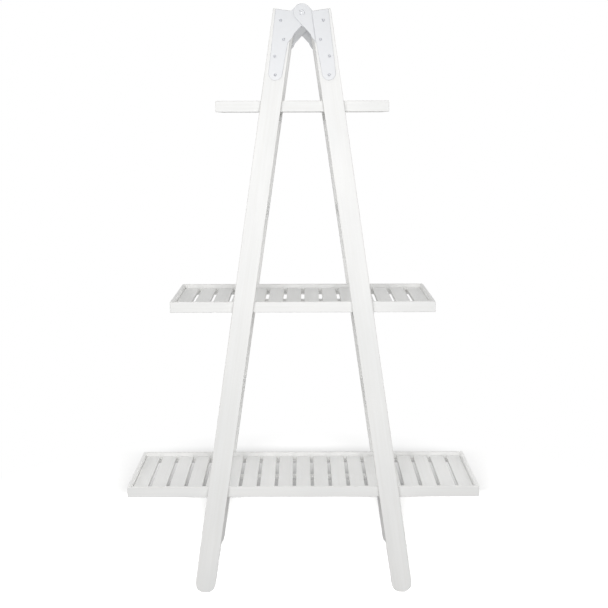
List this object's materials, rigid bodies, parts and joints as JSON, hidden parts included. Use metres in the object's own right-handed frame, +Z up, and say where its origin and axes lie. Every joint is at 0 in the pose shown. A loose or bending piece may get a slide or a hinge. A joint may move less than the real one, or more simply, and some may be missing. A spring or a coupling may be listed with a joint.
{
  "type": "ladder shelf",
  "caption": "Folding A-frame ladder shelf: two rung ladders joined by a top hinge front and back, carrying slatted storage trays on their rungs.",
  "frame": {"origin": "on the floor, midway between the four feet", "axes": "+Z up the shelf's height, +X to the right seen from the front, -Y towards the front"},
  "size_m": [1.062, 0.4182, 1.7499],
  "materials": {
    "painted_wood": "satin white paint over wood, grain just showing",
    "hinge_metal": "white enamelled sheet steel",
    "pin_metal": "zinc plated, satin",
    "screw_metal": "zinc plated, satin"
  },
  "bodies": {
    "left_ladder": {"left_front_leg": "painted_wood", "left_back_leg": "painted_wood", "left_rung_1": "painted_wood", "left_rung_2": "painted_wood", "left_rung_3": "painted_wood", "left_rung_4": "painted_wood", "left_rung_5": "painted_wood", "left_front_hinge_leaf": "hinge_metal", "left_front_hinge_screw_1": "screw_metal", "left_front_hinge_screw_2": "screw_metal", "left_front_hinge_screw_3": "screw_metal", "left_front_hinge_screw_4": "screw_metal", "left_back_hinge_leaf": "hinge_metal", "left_back_hinge_screw_1": "screw_metal", "left_back_hinge_screw_2": "screw_metal", "left_back_hinge_screw_3": "screw_metal", "left_back_hinge_screw_4": "screw_metal", "front_hinge_pin": "pin_metal", "back_hinge_pin": "pin_metal"},
    "right_ladder": {"right_front_leg": "painted_wood", "right_back_leg": "painted_wood", "right_rung_1": "painted_wood", "right_rung_2": "painted_wood", "right_rung_3": "painted_wood", "right_rung_4": "painted_wood", "right_rung_5": "painted_wood", "right_front_hinge_leaf": "hinge_metal", "right_front_hinge_screw_1": "screw_metal", "right_front_hinge_screw_2": "screw_metal", "right_front_hinge_screw_3": "screw_metal", "right_front_hinge_screw_4": "screw_metal", "right_back_hinge_leaf": "hinge_metal", "right_back_hinge_screw_1": "screw_metal", "right_back_hinge_screw_2": "screw_metal", "right_back_hinge_screw_3": "screw_metal", "right_back_hinge_screw_4": "screw_metal"},
    "lower_tray": {"lower_front_rail": "painted_wood", "lower_back_rail": "painted_wood", "lower_left_rail": "painted_wood", "lower_right_rail": "painted_wood", "lower_slat_deck": "painted_wood", "lower_batten": "painted_wood"},
    "middle_tray": {"middle_front_rail": "painted_wood", "middle_back_rail": "painted_wood", "middle_left_rail": "painted_wood", "middle_right_rail": "painted_wood", "middle_slat_deck": "painted_wood", "middle_batten": "painted_wood"},
    "top_tray": {"top_front_rail": "painted_wood", "top_back_rail": "painted_wood", "top_left_rail": "painted_wood", "top_right_rail": "painted_wood", "top_slat_deck": "painted_wood", "top_batten": "painted_wood"}
  },
  "joints": [
    {"name": "fold", "type": "hinge", "parent": "left_ladder", "child": "right_ladder", "pos_m": [0, 0, 1.7255], "axis": [0, 1, 0], "range_deg": [0, 16.4]},
    {"name": "lower_tray_slide", "type": "slide", "parent": "left_ladder", "child": "lower_tray", "axis": [1, 0, 0], "range_m": [-0.22, 0.86]},
    {"name": "middle_tray_slide", "type": "slide", "parent": "left_ladder", "child": "middle_tray", "axis": [1, 0, 0], "range_m": [-0.165, 0.64]},
    {"name": "top_tray_slide", "type": "slide", "parent": "left_ladder", "child": "top_tray", "axis": [1, 0, 0], "range_m": [-0.11, 0.41]}
  ]
}
